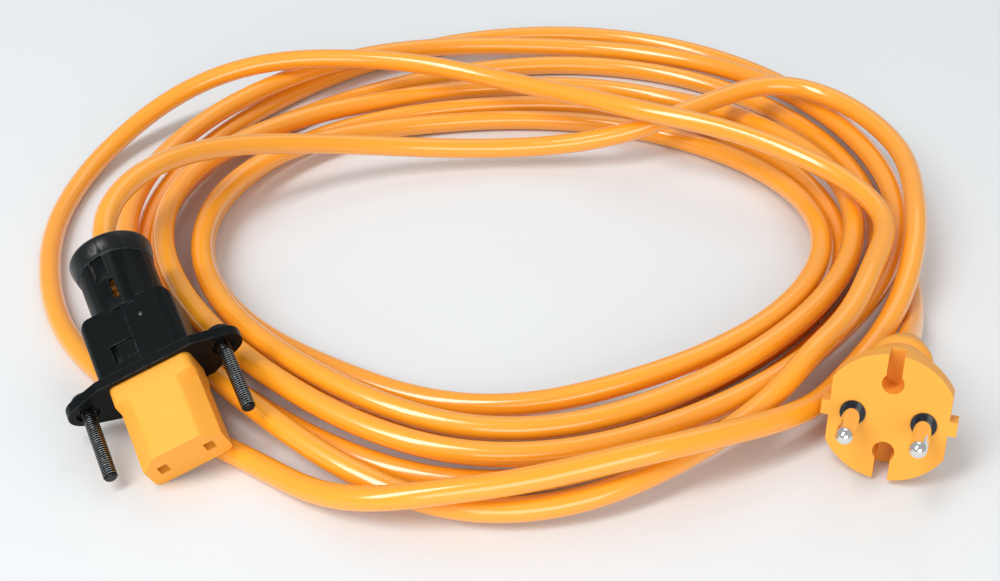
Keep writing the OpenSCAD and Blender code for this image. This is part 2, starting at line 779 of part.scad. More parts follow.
// A pan-head screw from behind the plate, with a hexagon socket and a chamfered tip
module screw(side) {
    tip = 0.5;
    r = screw_d / 2;
    neck_r = screw_neck_d / 2;
    neck_l = thread_z - head_z + head_gap;
    dome_h = head_h * 0.6;
    head_r = head_d / 2;
    at_connector()
    translate([side * screw_pitch / 2, screw_y, head_z - head_gap])
        difference() {
            rotate_extrude()
                polygon(concat([[0, screw_l], [0, -head_h]],
                    [for (a = [-90:15:0])
                        [head_r - dome_h * (1 - cos(a)), dome_h - head_h + dome_h * sin(a)]],
                    [[head_r, 0], [neck_r, 0], [neck_r, neck_l], [r, neck_l],
                        [r, screw_l - tip], [r - tip, screw_l]]));
            translate([0, 0, -head_h - 1])
                cylinder(d = socket_w / cos(30), h = 1 + dome_h, $fn = 6);
        }
}

module screw_left() {
    color([0.15, 0.15, 0.15]) screw(-1);
}

module screw_right() {
    color([0.15, 0.15, 0.15]) screw(1);
}

// ---- Plug ----

// Outline of the plug's rim: round, with a flat on each side
module rim_outline(step = 0, sides = 96) {
    intersection() {
        circle(d = plug_d - 2 * step, $fn = sides);
        square([flat_w - 2 * step, plug_d], center = true);
    }
}

// One notch in the plug's face, open to the rim
module notch(side) {
    translate([0, 0, -notch_depth])
        linear_extrude(notch_depth + 1) {
            translate([0, side * notch_r])
                circle(d = notch_end_d, $fn = 48);
            translate([-notch_w / 2, side > 0 ? notch_r : -plug_d])
                square([notch_w, plug_d - notch_r]);
        }
}

// The neck behind the body: a swelling collar, then a cone that narrows to the cord
module plug_neck() {
    collar = neck_d / 2;
    end = neck_end_d / 2;
    round = 2.5;
    swell_l = 3.5;
    start = plug_l + neck_start_z;
    swell = start - swell_l - 0.5;
    translate([0, neck_rise, -plug_l])
        rotate_extrude()
            polygon(concat([[0, 0], [end, 0], [end + 0.8, swell - 2 * swell_l]],
                [for (a = [-60:20:60])
                    [collar - round + round * cos(a), swell + swell_l * sin(a)]],
                [[collar - 2, start + 2], [0, start + 2]]));
}

// Room for the bridge, the collars and the pins' crimped ends
module bridge_room(gap) {
    translate([-bridge_w / 2 - gap, -collar_d / 2 - gap, pin_back_z - gap])
        cube([bridge_w + 2 * gap, collar_d + 2 * gap, bridge_t + 2 * gap]);
    for (side = [-1, 1])
        translate([side * pin_pitch / 2, 0, -bridge_depth - 1])
            cylinder(d = collar_d + 2 * gap, h = bridge_depth + 1 + collar_h);
}

module plug_body() {
    color("orange")
    at_plug()
    difference() {
        union() {
            translate([0, 0, -rim_t])
                linear_extrude(rim_t)
                    rim_outline();
            hull() {
                translate([0, 0, -rim_t - straight_l])
                    linear_extrude(straight_l + 1)
                        rim_outline(rim_step, 48);
                translate([0, neck_rise, neck_start_z])
                    cylinder(d = neck_d - 1.5, h = 0.5, $fn = 48);
            }
            translate([-rib_span / 2, -rib_w / 2, -rim_t])
                cube([rib_span, rib_w, rim_t]);
            plug_neck();
        }
        notch(1);
        notch(-1);
        bridge_room(seat_gap);
        for (side = [-1, 1]) {
            translate([side * pin_pitch / 2, 0, plug_crimp_z - seat_gap])
                cylinder(d = crimp_d + 2 * seat_gap, h = crimp_l + 1, $fn = 32);
            plug_wire(core_d + 2 * seat_gap, side, plug_crimp_z + 1, -plug_l - 1);
        }
    }
}

// The black bridge that holds both pins, with a collar round each at the face
module pin_bridge() {
    color([0.1, 0.1, 0.12])
    at_plug()
    difference() {
        bridge_room(0);
        for (side = [-1, 1])
            translate([side * pin_pitch / 2, 0, pin_back_z - 1])
                cylinder(d = pin_root_d + 2 * seat_gap, h = collar_h + 2 - pin_back_z);
    }
}

// A round pin with a domed tip, and a hollow end behind the bridge for its conductor
module pin(side) {
    r = pin_d / 2;
    translate([side * pin_pitch / 2, 0, 0])
        difference() {
            union() {
                translate([0, 0, pin_back_z])
                    cylinder(d = pin_root_d, h = collar_h + 1 - pin_back_z);
                translate([0, 0, collar_h])
                    cylinder(d = pin_d, h = pin_l - collar_h - r);
                translate([0, 0, pin_l - r])
                    sphere(d = pin_d);
                translate([0, 0, plug_crimp_z])
                    cylinder(d = crimp_d, h = crimp_l + 1);
            }
            translate([0, 0, plug_crimp_z - 1])
                cylinder(d = conductor_d + 2 * seat_gap, h = crimp_l, $fn = 32);
        }
}

module pin_left() {
    color("silver") at_plug() pin(-1);
}

module pin_right() {
    color("silver") at_plug() pin(1);
}

// A wire from the plug's neck to a pin
module plug_wire(d, side, end_z, start_z = -plug_l) {
    mirror([side < 0 ? 1 : 0, 0, 0])
        wire(d, start_z, plug_bend_z, plug_crimp_z - 1, end_z, core_pitch / 2, pin_pitch / 2,
            neck_rise);
}

module plug_core(side) {
    difference() {
        plug_wire(core_d, side, plug_crimp_z);
        plug_wire(conductor_d + 2 * seat_gap, side, plug_crimp_z + 1, -plug_l - 1);
    }
}

module plug_core_brown() {
    color("saddlebrown") at_plug() plug_core(-1);
}

module plug_core_blue() {
    color("royalblue") at_plug() plug_core(1);
}

module plug_conductor(side) {
    plug_wire(conductor_d, side, pin_back_z - 1.5);
}

module plug_conductor_brown() {
    color("peru") at_plug() plug_conductor(-1);
}

module plug_conductor_blue() {
    color("peru") at_plug() plug_conductor(1);
}

cord_connector_lead();
cord_coil();
cord_plug_lead();
connector_body();
contact_carrier();
contact_left();
contact_right();
connector_core_brown();
connector_core_blue();
connector_conductor_brown();
connector_conductor_blue();
bracket_left_half();
bracket_right_half();
screw_left();
screw_right();
plug_body();
pin_bridge();
pin_left();
pin_right();
plug_core_brown();
plug_core_blue();
plug_conductor_brown();
plug_conductor_blue();
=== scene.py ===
# A wound orange power cord with a flat-faced mains plug at one end and a two-pole appliance
# connector, held in a black screw-on bracket, at the other. The scene is in metres with +Z up;
# the pieces' own sizes are written in millimetres.
import math

import bmesh
import bpy
from mathutils import Matrix, Vector


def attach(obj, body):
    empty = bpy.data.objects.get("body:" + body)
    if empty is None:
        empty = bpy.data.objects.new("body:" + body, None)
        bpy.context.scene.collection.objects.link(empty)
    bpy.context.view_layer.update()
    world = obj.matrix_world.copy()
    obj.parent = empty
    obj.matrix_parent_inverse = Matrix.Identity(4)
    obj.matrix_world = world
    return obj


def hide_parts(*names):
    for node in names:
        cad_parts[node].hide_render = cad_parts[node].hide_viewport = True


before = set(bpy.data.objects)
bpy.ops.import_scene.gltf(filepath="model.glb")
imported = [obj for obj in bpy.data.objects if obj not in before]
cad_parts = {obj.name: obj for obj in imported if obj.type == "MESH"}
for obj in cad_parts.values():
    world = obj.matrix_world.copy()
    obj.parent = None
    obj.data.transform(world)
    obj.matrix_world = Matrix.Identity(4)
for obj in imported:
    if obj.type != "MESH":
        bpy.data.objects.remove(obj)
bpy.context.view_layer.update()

# ---- Camera ----
# A camera on a stand, about half a metre from the wound cord, at the height of someone who sits
# at the table. It looks down by 38 degrees, and its frame holds both ends of the cord.
camera_place = (0.0971, -0.3266, 0.298)
camera_down = 38
camera_lens = 53.96

camera_data = bpy.data.cameras.new("camera")
camera_data.lens = camera_lens
camera_data.sensor_width = 36
camera_data.clip_start = 0.01
camera = bpy.data.objects.new("camera", camera_data)
camera.location = camera_place
camera.rotation_euler = (math.radians(90 - camera_down), 0, 0)
bpy.context.scene.collection.objects.link(camera)
bpy.context.scene.camera = camera

# ---- Cord ----
# A round two-core cord with a glossy PVC sheath, wound by hand into an open oval pile. One
# length runs from the connector's tail through the pile to the plug, so it is one tube here.
mm = 0.001
cord_d = 7 * mm
strand_gap = 0.8 * mm
coil_middle = Vector((94.13, 81.42, 0)) * mm
outer_outline = [138, 150, 152, 141, 128, 127, 129, 119, 119, 138, 122, 120]
inner_outline = [114, 97, 74, 62, 65, 77, 89, 85, 76, 84, 89, 103]
rings_per_turn = 24
coil_rings = 141
coil_start = -5
settle_passes = 10
slow_wander = 4
slow_pace = 0.8
quick_wander = 2
quick_pace = 2.3
least_wander = 0.25

# The free stretch from the bracket to the pile, and the one from the pile to the plug, in mm
# from the pile's middle
connector_route = [
    (-116, -43.5, 33.2), (-116, -30, 36), (-110, -14, 36.5), (-101, 0, 34), (-88, 14, 29),
    (-68, 27, 22), (-45, 37, 15), (-21, 43, 10), (4, 46, 8), (28, 46, 10),
    (48, 47, 14), (66, 53, 17.5), (84, 64, 18.5), (104, 71, 19), (122, 64, 18.5),
    (135, 47, 18), (141, 26, 18), (140, 4, 18.5), (136, -18, 18), (129, -40, 15),
    (118, -61, 12), (104.5, -78, 9.5), (90, -95.5, 12), (70, -108.5, 16), (49, -117.5, 18),
    (28, -123, 16.5), (8, -127.5, 15), (-12, -129.5, 13), (-31, -128.5, 9.5), (-48, -121, 5),
    (-66, -108.5, 3.5), (-88, -94.5, 3.5), (-106, -80, 3.5), (-122, -64, 3.5), (-135, -44, 3.5),
    (-145, -12, 3.5), (-146, 20, 3.5), (-137, 50, 6), (-115, 75, 13.5), (-86, 87, 19),
    (-54, 90, 19.5), (-24, 86, 19), (4, 75, 19), (32, 58, 22), (56, 43, 24.5),
    (80, 32, 24.5), (105, 18, 22), (121, 2, 20), (126, -16, 19.5), (119, -37, 20),
    (110, -56, 19.5), (101.5, -69, 19), (92.5, -79.5, 18),
]
plug_route = [(134, -30, 3.5), (131.5, -44, 5.2), (128, -56, 8.3)]

# Where the connector's and the plug's faces are, and how they are turned: local z looks out of
# the face, x runs across the two poles and y is the upper side
connector_place = (
    Matrix.Translation(Vector((11.63, -31.58, 9.25)) * mm)
    @ Matrix.Rotation(math.radians(26), 4, "Z")
    @ Matrix.Rotation(math.radians(107.5), 4, "X")
    @ Matrix.Rotation(math.radians(20), 4, "Z")
)
plug_place = (
    Matrix.Translation(coil_middle + Vector((108.6, -107.9, 19.341)) * mm)
    @ Matrix.Rotation(math.radians(-21), 4, "Z")
    @ Matrix.Rotation(math.radians(72), 4, "X")
    @ Matrix.Rotation(math.radians(3.8), 4, "Z")
)
tail_z = -60
sleeve_exit_z = -73.5
plug_l = 35
neck_rise = 6.5


def on_outline(distances, angle):
    """Distance at an angle on a smooth closed outline near the listed distances."""
    place = angle / 360 % 1 * len(distances)
    k = int(place)
    u = place - k
    a, b, c, d = (distances[(k + step) % len(distances)] for step in (-1, 0, 1, 2))
    return (
        (1 - u) ** 3 * a
        + (3 * u**3 - 6 * u**2 + 4) * b
        + (-3 * u**3 + 3 * u**2 + 3 * u + 1) * c
        + u**3 * d
    ) / 6


def ring_angle(i):
    return coil_start + i * 360 / rings_per_turn


def ring_distance(i):
    """Distance of a ring from the pile's middle: wound inwards, outwards again, and unevenly."""
    angle = ring_angle(i)
    share = abs(1 - 2 * i / coil_rings)
    inner = on_outline(inner_outline, angle)
    outer = on_outline(outer_outline, angle)
    wander = slow_wander * math.cos(math.radians(slow_pace * angle))
    wander -= quick_wander * math.cos(math.radians(quick_pace * angle))
    freedom = min(1, least_wander + 4 * min(share, 1 - share))
    return inner + (outer - inner) * share + wander * freedom


def coil_points():
    """Middle line of the pile: each turn rests on the turns that were wound before it."""
    distances = [ring_distance(i) * mm for i in range(coil_rings + 1)]
    heights = [cord_d / 2] * len(distances)
    lift = cord_d + strand_gap
    for _ in range(settle_passes):
        raised = []
        for i, distance in enumerate(distances):
            rests = [cord_d / 2]
            for below in range(i - rings_per_turn, -1, -rings_per_turn):
                step = distance - distances[below]
                if abs(step) < lift:
                    rests.append(heights[below] + math.sqrt(lift**2 - step**2))
            raised.append(max(rests))
        padded = [raised[0]] + raised + [raised[-1]]
        held = [max(padded[i : i + 3]) for i in range(len(raised))]
        padded = [held[0]] + held + [held[-1]]
        heights = [sum(padded[i : i + 3]) / 3 for i in range(len(held))]
    points = []
    for i, distance in enumerate(distances):
        angle = math.radians(ring_angle(i))
        flat = Vector((math.cos(angle), math.sin(angle), 0)) * distance
        points.append(coil_middle + flat + Vector((0, 0, heights[i])))
    return points


def cord_points():
    """The whole middle line, from the connector's tail to the plug's neck."""
    coil = coil_points()
    way = (connector_place.to_3x3() @ Vector((0, 0, -1))).normalized()
    start = connector_place @ Vector((0, 0, tail_z * mm))
    lead = [start, start + way * cord_d, connector_place @ Vector((0, 0, sleeve_exit_z * mm))]
    lead += [coil_middle + Vector(p) * mm for p in connector_route]
    tail = [coil_middle + Vector(p) * mm for p in plug_route]
    end = plug_place @ (Vector((0, neck_rise, -plug_l)) * mm)
    end_way = (plug_place.to_3x3() @ Vector((0, 0, 1))).normalized()
    return lead + coil[::-1] + tail + [end - end_way * cord_d, end]


def smooth_slopes(points):
    """Slope at each point of the smoothest curve through them, and the steps between them."""
    steps = [math.sqrt((b - a).length) for a, b in zip(points, points[1:])]
    last = len(points) - 1
    rise = [(points[i + 1] - points[i]) / steps[i] for i in range(last)]
    upper = [0.0] * (last + 1)
    right = [Vector((0, 0, 0))] * (last + 1)
    upper[0] = 0.5
    right[0] = rise[0] * 1.5
    for i in range(1, last):
        pivot = 2 * (steps[i - 1] + steps[i]) - steps[i] * upper[i - 1]
        upper[i] = steps[i - 1] / pivot
        wanted = 3 * (steps[i] * rise[i - 1] + steps[i - 1] * rise[i])
        right[i] = (wanted - steps[i] * right[i - 1]) / pivot
    slopes = [Vector((0, 0, 0))] * (last + 1)
    slopes[last] = (3 * rise[-1] - right[last - 1]) / (2 - upper[last - 1])
    for i in range(last - 1, -1, -1):
        slopes[i] = right[i] - upper[i] * slopes[i + 1]
    return slopes, steps


route = cord_points()
slopes, steps = smooth_slopes(route)
cord_curve = bpy.data.curves.new("cord", "CURVE")
cord_curve.dimensions = "3D"
cord_curve.resolution_u = 8
cord_curve.bevel_depth = cord_d / 2
cord_curve.bevel_resolution = 8
cord_curve.use_fill_caps = True
spline = cord_curve.splines.new("BEZIER")
spline.bezier_points.add(len(route) - 1)
for i, knot in enumerate(spline.bezier_points):
    knot.handle_left_type = "FREE"
    knot.handle_right_type = "FREE"
    knot.co = route[i]
    knot.handle_left = route[i] - slopes[i] * steps[max(i - 1, 0)] / 3
    knot.handle_right = route[i] + slopes[i] * steps[min(i, len(steps) - 1)] / 3
    # Between its points, too, the cord stays on the table top
    knot.handle_left.z = max(knot.handle_left.z, cord_d / 2)
    knot.handle_right.z = max(knot.handle_right.z, cord_d / 2)
cord = bpy.data.objects.new("cord", cord_curve)
bpy.context.scene.collection.objects.link(cord)


def put(tree, kind, sockets=(), **settings):
    """Adds a node; each socket, by name or number, gets a plain value or the output feeding it."""
    node = tree.nodes.new("ShaderNode" + kind)
    for setting, value in settings.items():
        setattr(node, setting, value)
    for socket, value in dict(sockets).items():
        if isinstance(value, bpy.types.NodeSocket):
            tree.links.new(value, node.inputs[socket])
        else:
            node.inputs[socket].default_value = value
    return node


def new_group(name, inputs, outputs):
    """A shared effect: its tree, its named inputs with their usual values, and its outputs."""
    group = bpy.data.node_groups.new(name, "ShaderNodeTree")
    for label, kind, value in inputs:
        socket = group.interface.new_socket(label, in_out="INPUT", socket_type="NodeSocket" + kind)
        if value is not None:
            socket.default_value = value
    for label, kind in outputs:
        group.interface.new_socket(label, in_out="OUTPUT", socket_type="NodeSocket" + kind)
    given = group.nodes.new("NodeGroupInput").outputs
    result = group.nodes.new("NodeGroupOutput").inputs
    return group, given, result


# Moulded plastic is never one even tone: pigment and flow lines drift over a few centimetres
tone_drift, given, result = new_group(
    "tone_drift",
    [("Place", "Vector", None), ("Colour", "Color", (0.8, 0.8, 0.8, 1)), ("Scale", "Float", 40),
     ("Drift", "Float", 0.1), ("Roughness", "Float", 0.5)],
    [("Colour", "Color"), ("Roughness", "Float")],
)
cloud = put(
    tone_drift, "TexNoise", {"Vector": given["Place"], "Scale": given["Scale"], "Detail": 4}
)
swing = put(tone_drift, "Math", {0: cloud.outputs[0], 1: 0.5}, operation="SUBTRACT")
share = put(tone_drift, "Math", {0: swing.outputs[0], 1: given["Drift"]}, operation="MULTIPLY")
value = put(tone_drift, "Math", {0: share.outputs[0], 1: 1}, operation="ADD")
hue = put(tone_drift, "Math", {0: share.outputs[0], 1: 0.06, 2: 0.5}, operation="MULTIPLY_ADD")
tinted = put(
    tone_drift, "HueSaturation",
    {"Hue": hue.outputs[0], "Value": value.outputs[0], "Color": given["Colour"]},
)
rough = put(tone_drift, "Math", {0: given["Roughness"], 1: share.outputs[0]}, operation="ADD")
tone_drift.links.new(tinted.outputs["Color"], result["Colour"])
tone_drift.links.new(rough.outputs[0], result["Roughness"])

# The fine grain that a spark-eroded or blasted mould leaves on a surface
mould_grain, given, result = new_group(
    "mould_grain",
    [("Place", "Vector", None), ("Scale", "Float", 2500), ("Waves", "Float", 80),
     ("Wave share", "Float", 0.5)],
    [("Height", "Float")],
)
grit = put(
    mould_grain, "TexNoise", {"Vector": given["Place"], "Scale": given["Scale"], "Detail": 2}
)
waves = put(
    mould_grain, "TexNoise", {"Vector": given["Place"], "Scale": given["Waves"], "Detail": 1}
)
height = put(
    mould_grain, "Mix",
    {0: given["Wave share"], 2: grit.outputs[0], 3: waves.outputs[0]},
)
mould_grain.links.new(height.outputs[0], result["Height"])

# Edges that hands and boxes rub are polished and a little paler than the rest. On the black bracket
# these paler edges are painted highlights along its edges and seams.
edge_wear_and_glint, given, result = new_group(
    "edge_wear_and_glint",
    [("Place", "Vector", None), ("Amount", "Float", 0.5), ("Reach", "Float", 0.0006)],
    [("Mask", "Float")],
)
rounded = put(edge_wear_and_glint, "Bevel", {"Radius": given["Reach"]}, samples=4)
facing = put(edge_wear_and_glint, "NewGeometry")
likeness = put(
    edge_wear_and_glint, "VectorMath", {0: rounded.outputs[0], 1: facing.outputs["Normal"]},
    operation="DOT_PRODUCT",
)
turned_off = put(
    edge_wear_and_glint, "MapRange",
    {"Value": likeness.outputs["Value"], "From Min": 1, "From Max": 0.9, "To Min": 0, "To Max": 1},
)
patches = put(edge_wear_and_glint, "TexNoise", {"Vector": given["Place"], "Scale": 700, "Detail": 3})
rubbed_and_glint = put(
    edge_wear_and_glint, "MapRange",
    {"Value": patches.outputs[0], "From Min": 0.4, "From Max": 0.65, "To Min": 0.2, "To Max": 1},
)
both = put(
    edge_wear_and_glint, "Math", {0: turned_off.outputs[0], 1: rubbed_and_glint.outputs[0]}, operation="MULTIPLY"
)
scaled = put(edge_wear_and_glint, "Math", {0: both.outputs[0], 1: given["Amount"]}, operation="MULTIPLY")
edge_wear_and_glint.links.new(scaled.outputs[0], result["Mask"])

# Dust settles as fine specks on what looks up
settled_dust, given, result = new_group(
    "settled_dust",
    [("Place", "Vector", None), ("Amount", "Float", 0.2)],
    [("Mask", "Float")],
)
facing = put(settled_dust, "NewGeometry")
upward = put(settled_dust, "SeparateXYZ", {0: facing.outputs["Normal"]})
lying = put(
    settled_dust, "MapRange",
    {"Value": upward.outputs["Z"], "From Min": 0.1, "From Max": 0.9, "To Min": 0, "To Max": 1},
)
specks = put(settled_dust, "TexNoise", {"Vector": given["Place"], "Scale": 1800, "Detail": 3})
sparse = put(
    settled_dust, "MapRange",
    {"Value": specks.outputs[0], "From Min": 0.6, "From Max": 0.72, "To Min": 0, "To Max": 1},
)
fallen = put(
    settled_dust, "Math", {0: lying.outputs[0], 1: sparse.outputs[0]}, operation="MULTIPLY"
)
scaled = put(settled_dust, "Math", {0: fallen.outputs[0], 1: given["Amount"]}, operation="MULTIPLY")
settled_dust.links.new(scaled.outputs[0], result["Mask"])


def new_finish(name, colour, roughness, own_feel=None, **sockets):
    """A moulded or metal finish with drift of tone, grain, paler edges and a trace of dust; the
    paler edges are rubbed ones, but on the black bracket they are painted highlights.
    """
    dust_colour = (0.62, 0.6, 0.57, 1)
    dust_roughness = 0.3
    grain_strength = 0.6
    feel = {
        "scale": 40, "drift": 0.08, "grain": 2500, "waves": 80, "wave_share": 0.5,
        "depth": 0.01, "worn_and_glint": (*colour, 1), "wear_and_glint": 0.3, "reach": 0.6, "dust": 0.1,
    }
    feel.update(own_feel or {})
    material = bpy.data.materials.new(name)
    material.use_nodes = True
    tree = material.node_tree
    shader = tree.nodes["Principled BSDF"]
    place = put(tree, "TexCoord").outputs["Object"]
    tone = put(
        tree, "Group",
        {"Place": place, "Colour": (*colour, 1), "Scale": feel["scale"], "Drift": feel["drift"],
         "Roughness": roughness},
        node_tree=tone_drift,
    )
    wear_and_glint = put(
        tree, "Group", {"Place": place, "Amount": feel["wear_and_glint"], "Reach": feel["reach"] * mm},
        node_tree=edge_wear_and_glint,
    )
    dust = put(tree, "Group", {"Place": place, "Amount": feel["dust"]}, node_tree=settled_dust)
    # Edges take the edge tint: real rubbing on most finishes, a painted highlight on the black
    # bracket.
    rubbed_and_glint = put(
        tree, "Mix", {0: wear_and_glint.outputs["Mask"], 6: tone.outputs["Colour"], 7: feel["worn_and_glint"]},
        data_type="RGBA",
    )
    dusty = put(
        tree, "Mix", {0: dust.outputs["Mask"], 6: rubbed_and_glint.outputs[2], 7: dust_colour},
        data_type="RGBA",
    )
    tree.links.new(dusty.outputs[2], shader.inputs["Base Color"])
    rough = put(
        tree, "Math",
        {0: dust.outputs["Mask"], 1: dust_roughness, 2: tone.outputs["Roughness"]},
        operation="MULTIPLY_ADD",
    )
    tree.links.new(rough.outputs[0], shader.inputs["Roughness"])
    grain = put(
        tree, "Group",
        {"Place": place, "Scale": feel["grain"], "Waves": feel["waves"],
         "Wave share": feel["wave_share"]},
        node_tree=mould_grain,
    )
    bump = put(
        tree, "Bump",
        {"Strength": grain_strength, "Distance": feel["depth"] * mm,
         "Height": grain.outputs["Height"]},
    )
    tree.links.new(bump.outputs["Normal"], shader.inputs["Normal"])
    for socket, value in sockets.items():
        shader.inputs[socket.replace("_", " ")].default_value = value
    return material


sheath = new_finish(
    "cord_sheath", (0.95, 0.36, 0.016), 0.24,
    {"scale": 25, "drift": 0.07, "grain": 900, "waves": 45, "wave_share": 0.85, "depth": 0.05,
     "worn_and_glint": (0.96, 0.45, 0.08, 1), "wear_and_glint": 0.1, "dust": 0.03},
    Coat_Weight=0.8, Coat_Roughness=0.12, Specular_IOR_Level=0.5,
)
cord_curve.materials.append(sheath)

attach(cord, "cord_set")
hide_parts("cord_connector_lead", "cord_coil", "cord_plug_lead")

# ---- Connector moulding ----
# The two-pole connector is one block of orange PVC, moulded round its contact carrier and the
# cord. Two slopes key its nose; its grip and ringed tail lie inside the bracket.
grip_w = 24.6
grip_h = 15.4
grip_y = 0.8
grip_round = 2.5
grip_end = -48
shoulder_back = -21
shoulder_front = -19.5
nose_w = 23.7
nose_top = 8.5
nose_flat = 14
nose_slope = 4.7
slope_catch = 0.4
contact_pitch = 14
slot_w = 2.8
slot_h = 4.2
slot_y = 0.4
room_w = 20.2
room_h = 7.4
room_back = -33.1
nose_wall = 3
nose_edge_r = 0.7
tail_r = 6.5
tail_end_r = 5
tail_edge = 0.4
ring_depth = 0.8
ring_w = 1.4
ring_step = 2.6
ring_edge = 0.2

# Points closer to each other than near count as level, and closer than merge_gap as one. Edges
# sharper than crease_angle stay creases in the shading, and soften rounds the sharpest.
near = 0.01
merge_gap = 0.001
crease_angle = 32
rounded_angle = 35


def all_of(bm):
    return bm.verts[:] + bm.edges[:] + bm.faces[:]


def grown(bm, faces, way):
    """Extrudes faces by a step and gives the new end faces."""
    edges = list({edge for face in faces for edge in face.edges})
    made = bmesh.ops.extrude_face_region(bm, geom=faces + edges)["geom"]
    verts = [item for item in made if isinstance(item, bmesh.types.BMVert)]
    bmesh.ops.translate(bm, vec=way, verts=verts)
    return [item for item in made if isinstance(item, bmesh.types.BMFace)]


def new_circle(bm, z, radius, segments, filled=False):
    """Draws a circle at a height and gives its edges."""
    verts = bmesh.ops.create_circle(
        bm, cap_ends=filled, segments=segments, radius=radius
    )["verts"]
    bmesh.ops.translate(bm, vec=(0, 0, z), verts=verts)
    return list({edge for vert in verts for edge in vert.link_edges})


def drawn_out(bm, edges):
    """Extrudes edges in place, and gives the new vertices and the new edges."""
    made = bmesh.ops.extrude_edge_only(bm, edges=edges)["geom"]
    verts = [item for item in made if isinstance(item, bmesh.types.BMVert)]
    return verts, [item for item in made if isinstance(item, bmesh.types.BMEdge)]


def next_ring(bm, edges, z, radius, y=0):
    """Extrudes a round edge loop to the next height and radius of a turned outline."""
    verts, edges = drawn_out(bm, edges)
    for vert in verts:
        spoke = Vector((vert.co.x, vert.co.y - y)).normalized() * radius
        vert.co = (spoke.x, spoke.y + y, z)
    return edges


def faces_at(bm, z):
    return [face for face in bm.faces if all(abs(vert.co.z - z) < near for vert in face.verts)]


def split_faces(bm, faces, place, way):
    """Cuts these faces, and no others, along a plane."""
    edges = {edge for face in faces for edge in face.edges}
    verts = {vert for face in faces for vert in face.verts}
    bmesh.ops.bisect_plane(
        bm, geom=faces + list(edges) + list(verts), plane_co=place, plane_no=way
    )


def cut_slots(bm, z):
    """Cuts the two slots out of the faces that lie at a height, and gives their edges."""
    for level, way in (
        (slot_y - slot_h / 2, (0, 1, 0)), (slot_y + slot_h / 2, (0, 1, 0)),
        ((contact_pitch - slot_w) / 2, (1, 0, 0)), ((contact_pitch + slot_w) / 2, (1, 0, 0)),
        ((slot_w - contact_pitch) / 2, (1, 0, 0)), ((-slot_w - contact_pitch) / 2, (1, 0, 0)),
    ):
        split_faces(bm, faces_at(bm, z), Vector(way) * level, way)
    holes = []
    for face in bm.faces:
        middle = face.calc_center_median()
        across = abs(abs(middle.x) - contact_pitch / 2)
        up = abs(middle.y - slot_y)
        if abs(middle.z - z) < near and across < slot_w / 2 and up < slot_h / 2:
            holes.append(face)
    edges = {e for f in holes for e in f.edges if sum(g in holes for g in e.link_faces) == 1}
    bmesh.ops.delete(bm, geom=holes, context="FACES")
    return [e for e in edges if e.is_valid]


def finish_piece(name, bm, place, material, slot, body, *nodes):
    """Puts a finished shape in its place, hangs it on its body and hides the CAD nodes that it
    stands for.
    """
    bmesh.ops.remove_doubles(bm, verts=bm.verts, dist=merge_gap)
    bmesh.ops.recalc_face_normals(bm, faces=bm.faces)
    bmesh.ops.transform(bm, matrix=place @ Matrix.Scale(mm, 4), verts=bm.verts)
    mesh = bpy.data.meshes.new(name)
    bm.to_mesh(mesh)
    bm.free()
    mesh.shade_smooth()
    mesh.set_sharp_from_angle(angle=math.radians(crease_angle))
    mesh.materials.append(material)
    piece = bpy.data.objects.new(name, mesh)
    bpy.context.scene.collection.objects.link(piece)
    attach(piece, body)
    if nodes:
        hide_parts(*nodes)
    return piece


def soften(piece, width, solid=False, clamp=True):
    """Rounds sharp edges a little, as a mould's polish does; a CAD solid is made whole first."""
    if solid:
        piece.modifiers.new("whole", "WELD").merge_threshold = 0.00001
        flat = piece.modifiers.new("flat", "DECIMATE")
        flat.decimate_type = "DISSOLVE"
        flat.angle_limit = math.radians(1)
    rounding = piece.modifiers.new("rounding", "BEVEL")
    rounding.width = width * mm
    rounding.segments = 3
    rounding.limit_method = "ANGLE"
    rounding.angle_limit = math.radians(rounded_angle)
    rounding.harden_normals = True
    rounding.use_clamp_overlap = clamp


# Grip, shoulder and nose are drawn forwards from one rounded outline
bm = bmesh.new()
bmesh.ops.create_grid(bm, x_segments=1, y_segments=1, size=0.5)
bmesh.ops.scale(bm, vec=(grip_w, grip_h, 1), verts=bm.verts)
bmesh.ops.translate(bm, vec=(0, grip_y, grip_end), verts=bm.verts)
bmesh.ops.bevel(
    bm, geom=bm.verts[:], offset=grip_round, segments=8, profile=0.5, material=-1,
    affect="VERTICES",
)
for side in (-1, 1):
    bmesh.ops.bisect_plane(
        bm, geom=all_of(bm), plane_co=(side * nose_flat / 2, 0, 0), plane_no=(1, 0, 0)
    )
ends = grown(bm, bm.faces[:], (0, 0, shoulder_back - grip_end))

# The shoulder narrows it a little, and two slopes fall from the nose's flat top
ends = grown(bm, ends, (0, 0, shoulder_front - shoulder_back))
for vert in {v for face in ends for v in face.verts}:
    vert.co.x *= nose_w / grip_w
    if abs(abs(vert.co.x) - nose_flat / 2) < slope_catch and vert.co.y > nose_top - near:
        vert.co.x = math.copysign(nose_flat / 2, vert.co.x)
    slope_share = (abs(vert.co.x) - nose_flat / 2) / (nose_w / 2 - nose_flat / 2)
    vert.co.y = min(vert.co.y, nose_top - nose_slope * max(0, slope_share))
grown(bm, ends, (0, 0, -shoulder_front))

# The nose's long edges are rounder than the rest
long_edges = [
    edge for edge in bm.edges
    if abs(edge.verts[0].co.z - edge.verts[1].co.z) > -shoulder_front - 1
    and min(vert.co.z for vert in edge.verts) > shoulder_back
    and edge.calc_face_angle(0) > math.radians(20)
]
bmesh.ops.bevel(
    bm, geom=long_edges, offset=nose_edge_r, segments=4, profile=0.5, material=-1,
    affect="EDGES",
)

